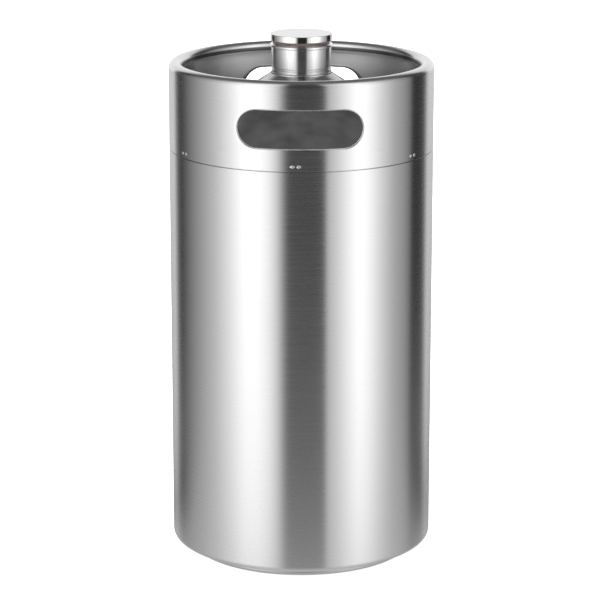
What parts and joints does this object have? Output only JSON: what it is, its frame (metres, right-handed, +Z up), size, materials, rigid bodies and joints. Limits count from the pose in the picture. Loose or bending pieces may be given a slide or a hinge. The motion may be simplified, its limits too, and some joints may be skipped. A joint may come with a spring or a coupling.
{
  "type": "beer keg",
  "caption": "Straight-sided stainless steel beer keg with a conical shoulder, a threaded neck with a screw cap and seal, and a handle ring with hand holes and a rolled rim.",
  "frame": {"origin": "centre of the foot, on the surface that the keg stands on", "axes": "+Z up along the keg's axis; the two hand holes face -Y (front) and +Y (rear)"},
  "size_m": [0.215, 0.2154, 0.4298],
  "materials": {
    "brushed_steel": "fine brushing round the keg",
    "pressed_steel": "plain pressed sheet, satin",
    "polished_steel": "turned and polished",
    "weld_metal": "bare weld bead",
    "silicone": "satin dusty pink-brown silicone"
  },
  "bodies": {
    "keg": {"body_shell": "brushed_steel", "base_pan": "pressed_steel", "base_weld": "weld_metal", "shoulder_cone": "brushed_steel", "shoulder_weld": "weld_metal", "handle_ring": "brushed_steel", "spot_welds": "weld_metal", "neck_collar": "polished_steel", "neck_weld": "weld_metal"},
    "seal": {"cap_seal": "silicone"},
    "cap": {"cap_disc": "polished_steel", "cap_plug": "polished_steel", "cap_weld": "weld_metal"}
  },
  "joints": [
    {"name": "cap_lift", "type": "slide", "parent": "keg", "child": "seal", "axis": [0, 0, 1], "range_m": [0, 0.0201]},
    {"name": "cap_turn", "type": "hinge", "parent": "seal", "child": "cap", "pos_m": [0, 0, 0.424], "axis": [0, 0, 1], "range_deg": [0, 1800]}
  ],
  "couplings": [
    {"joint": "cap_lift", "follows": "cap_turn", "m_per_rad": 0.00063662}
  ]
}
